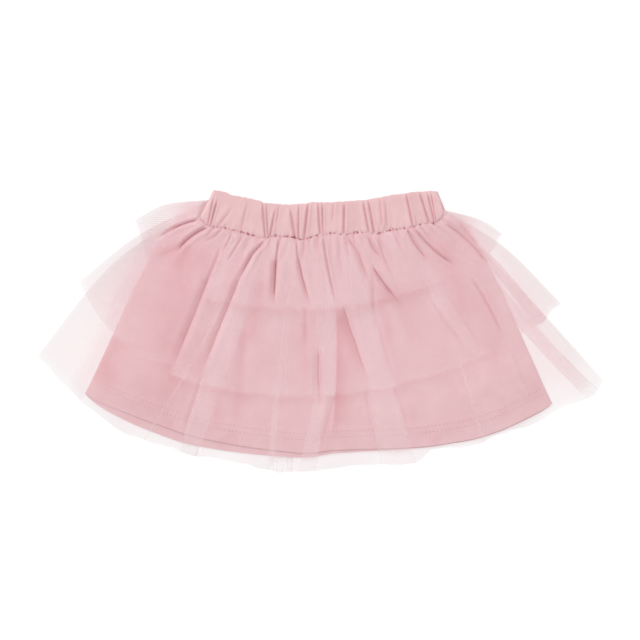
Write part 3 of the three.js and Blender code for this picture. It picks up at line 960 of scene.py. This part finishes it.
def hem_stitches(side, points, material):
    """Two rows of stitches along the lining's hem, with dark bars of painted shade for the needle holes,
    as one mesh.
    """
    mesh_data = ([], [], [])
    gap = STITCH_PITCH - STITCH_LENGTH
    for height in STITCH_ROWS:
        line = points[int(round((len(points) - 1) * (1 - height / LINING_LENGTH)))]
        length = length_along(line)
        for start in np.arange(STITCH_ENDS[0], length[-1] - STITCH_ENDS[1], STITCH_PITCH):
            bar(spots_along(line, length, start, STITCH_LENGTH), STITCH_THICK, 0, mesh_data)
            # A dark bar of painted shade stands for the needle hole
            hole = start + STITCH_LENGTH + (gap - NEEDLE_HOLE) / 2
            bar(spots_along(line, length, hole, NEEDLE_HOLE), NEEDLE_HOLE, HOLE_SHADE, mesh_data)
    vertices, faces, shades = mesh_data
    piece = new_piece(f"lining_{side}_stitches", np.array(vertices), faces)
    vertex_value(piece, "shade", shades)
    belongs(piece, None, material)


# Net


def pleated(pleats, down, density):
    """Places across the fan and depths of the folded cloth, for each column and row."""
    turns = [(np.zeros_like(down), 1.0)]
    stops = (0, 0.33, 1)
    for pleat in sorted(pleats, key=lambda row: row.left):
        half = 0.5 * PINCH * (pleat.right - pleat.left)
        left = np.interp(down, stops, (pleat.waist - half, pleat.left, pleat.left_hem))
        right = np.interp(down, stops, (pleat.waist + half, pleat.right, pleat.right_hem))
        turns += [(right, 0.5), (left, 1.5)]
    turns.append((np.ones_like(down), 1.0))
    across = []
    levels = []
    for (start, upper), (end, lower) in zip(turns, turns[1:]):
        count = max(4, int(round(np.abs(end - start).max() * density)))
        for k in range(count):
            across.append(lerp(start, end, k / count))
            levels.append(np.full_like(start, lerp(upper, lower, k / count)))
    across.append(turns[-1][0])
    levels.append(np.full_like(down, turns[-1][1]))
    return np.stack(across, -1), np.stack(levels, -1)


def beside_lining(place):
    """How far plan points lie outside the lining's left and right edges, in millimetres."""
    out = []
    for (top, foot), side in zip(LINING_EDGES, (-1, 1)):
        height = (place[..., 1] - foot[1]) / (top[1] - foot[1])
        out.append(side * (place[..., 0] - lerp(foot[0], top[0], height)))
    return out


def gathering(across, down, flat_width, place):
    """How many layers of net lie on each other, at the gathers and beside the lining."""
    left_out, right_out = beside_lining(place)
    at_seam = 1 - smooth(down, 0.05, 0.18)
    left_strip = smooth(left_out, -2, 3) * (1 - smooth(left_out, 6, 20))
    right_strip = smooth(right_out, -3, 1) * (1 - smooth(right_out, 5, 20))
    layers = np.clip(flat_width / spread(down), 1, 1.6)
    layers += 0.65 * smooth(across, 0.88, 0.96) * (1 - smooth(down, 0.75, 0.95))
    layers += 0.3 * (1 - smooth(across, 0.06, 0.14)) * (1 - smooth(down, 0.3, 0.6))
    layers += 2.5 * (1 - smooth(across, 0.03, 0.08)) * at_seam
    layers += 1.2 * smooth(across, 0.92, 0.97) * at_seam
    layers += 0.5 * left_strip * smooth(down, 0.05, 0.25)
    layers -= 0.4 * right_strip * smooth(down, 0.1, 0.3) * (1 - smooth(down, 0.55, 0.75))
    return layers


def net_cover(across, down, from_hem, layers):
    """How much the net hides, and how grey it is along its edges."""
    frayed = smooth(down, 0.9, 0.99)
    patchy = 0.5 + 0.5 * np.sin(31 * across + 1) * np.sin(13 * across)
    from_side = np.minimum(across, 1 - across)
    edge = (1 - smooth(from_side, 0, 0.04)) * smooth(down, 0.08, 0.25)
    cover = (1 - (1 - NET_COVER) ** layers) * (1 + 0.25 * frayed - 0.4 * frayed * patchy)
    cover *= lerp(0.8, 1, smooth(from_side * spread(down), 0, SOFT_SIDE))
    cover *= lerp(lerp(0.75, 1, smooth(from_side, 0.08, 0.16)), 1, smooth(from_hem, 0, SOFT_HEM))
    folded_under = across < np.maximum.accumulate(across, axis=1) - 1e-6
    cover *= 1 - PLEAT_OPENS * folded_under * smooth(down, 0.93, 0.97)
    return cover, np.clip(0.7 * frayed + 0.6 * edge, 0, 0.8)


def tier_form(name, cloth, seed, across, levels, share, place):
    """Heights and painted shade of a panel of net at its plan points."""
    side = name.split("_")[2]
    below = np.clip(share, 0, 1)
    down = below * reach_of(cloth, across)
    from_seam = below * FAN_LENGTH * max(REACH[cloth])
    rise, dark = drape(side, across, down, place)
    loose = 0.5 * crumple(across, down, seed) * smooth(down, 0.05, 0.3)
    z = level_of(name, cloth, cloth)(across, share) - NET_SINK - PLEAT_STEP * levels + rise
    if side == "front":
        # Painted shade, a little deeper over the top tier, fading out at the second tier's hem
        dark += lerp(0.1, 0.12, 1 - smooth(down, 0.28, 0.36)) * (1 - smooth(down, 0.6, 0.7))
        dark = np.maximum(dark, pucker_shade_below(across, from_seam)) + hem_shade(cloth, across, down)
        z = lerp(NET_START, z + loose, smooth(from_seam, 0, SEAM_SETTLE))
    else:
        z += 0.3 * loose
    return np.maximum(z * settle(across, down), NET_LOWEST), dark


def tier(name, cloth, seed, material):
    """One panel of net with its pleats, lying on the solid's form."""
    side = name.split("_")[2]
    longest = max(REACH[cloth])
    length = FAN_LENGTH * longest
    count = int(NET_ROWS[0] + NET_ROWS[1] * longest)
    rows = np.concatenate([NEAR_SEAM / length, np.linspace(3.5 / length, 1, count)])
    across, levels = pleated(PLEATS[name], np.clip(rows, 0, 1) * longest, NET_COLUMNS[side])
    share = np.repeat(rows[:, None], across.shape[1], 1)
    place = plan(cloth, cloth, across, share * (1 + hem_ripple(cloth, seed, across)))
    z, dark = tier_form(name, cloth, seed, across, levels, share, place)
    points = lifted(place, z)
    walk = np.abs(np.diff(across[-1])) * spread(longest)
    width = np.concatenate([[0], np.cumsum(walk)])
    uv = np.stack([np.broadcast_to(width, share.shape), share * length], -1)
    piece = grid_mesh(f"{name}_net", points, uv)
    piece.data.set_sharp_from_angle(angle=math.radians(60))
    down = np.clip(share, 0, 1) * reach_of(cloth, across)
    layers = gathering(across, down, spread(longest), place)
    cover, pale = net_cover(across, down, (1 - share) * length, layers)
    vertex_value(piece, "cover", cover)
    vertex_value(piece, "pale", pale)
    # Painted shade of the creases, folds, seam puckers and the hems above
    vertex_value(piece, "shade", dark)
    piece.visible_shadow = False
    piece.visible_diffuse = False
    belongs(piece, name, material)


# Scene


def floor():
    bpy.ops.mesh.primitive_plane_add(size=6)
    plane = bpy.context.object
    plane.name = "floor"
    nodes = Nodes("floor")
    inputs = nodes.shader.inputs
    inputs["Base Color"].default_value = (FLOOR_GREY, FLOOR_GREY, FLOOR_GREY, 1)
    inputs["Emission Color"].default_value = (1, 1, 1, 1)
    inputs["Emission Strength"].default_value = FLOOR_GLOW
    inputs["Roughness"].default_value = 0.9
    inputs["Specular IOR Level"].default_value = 0
    plane.data.materials.append(nodes.material)


def light_and_camera():
    scene = bpy.context.scene
    world = bpy.data.worlds.new("studio")
    world.use_nodes = True
    world.node_tree.nodes["Background"].inputs["Color"].default_value = (1, 1, 1, 1)
    world.node_tree.nodes["Background"].inputs["Strength"].default_value = SKY
    scene.world = world
    key = bpy.data.objects.new("key", bpy.data.lights.new("key", "SUN"))
    key.data.energy = SUN
    key.data.angle = math.radians(SUN_SPREAD)
    key.rotation_euler = (math.radians(SUN_TILT), math.radians(SUN_TILT), 0)
    bpy.context.collection.objects.link(key)
    camera = bpy.data.objects.new("camera", bpy.data.cameras.new("camera"))
    camera.data.sensor_width = SENSOR
    camera.data.lens = LENS
    height = VIEW_HEIGHT_Z + VIEW_WIDTH * LENS / SENSOR
    camera.location = (CAMERA_X * MM, (CAMERA_Y + plan_shift) * MM, height * MM)
    bpy.context.collection.objects.link(camera)
    scene.camera = camera
    scene.view_settings.view_transform = "Standard"
    scene.cycles.transparent_max_bounces = 64


casing = woven_material("casing", CASING)
jersey = woven_material("jersey", JERSEY)
thread = woven_material("thread", THREAD)
net = net_material()

for side in ("back", "front"):
    waistband(side, casing)
    hem_stitches(side, lining(side, jersey), thread)
    for number in (1, 2, 3):
        tier(f"tier_{number}_{side}", f"tier_{number}", number + (10 if side == "back" else 0), net)

floor()
light_and_camera()
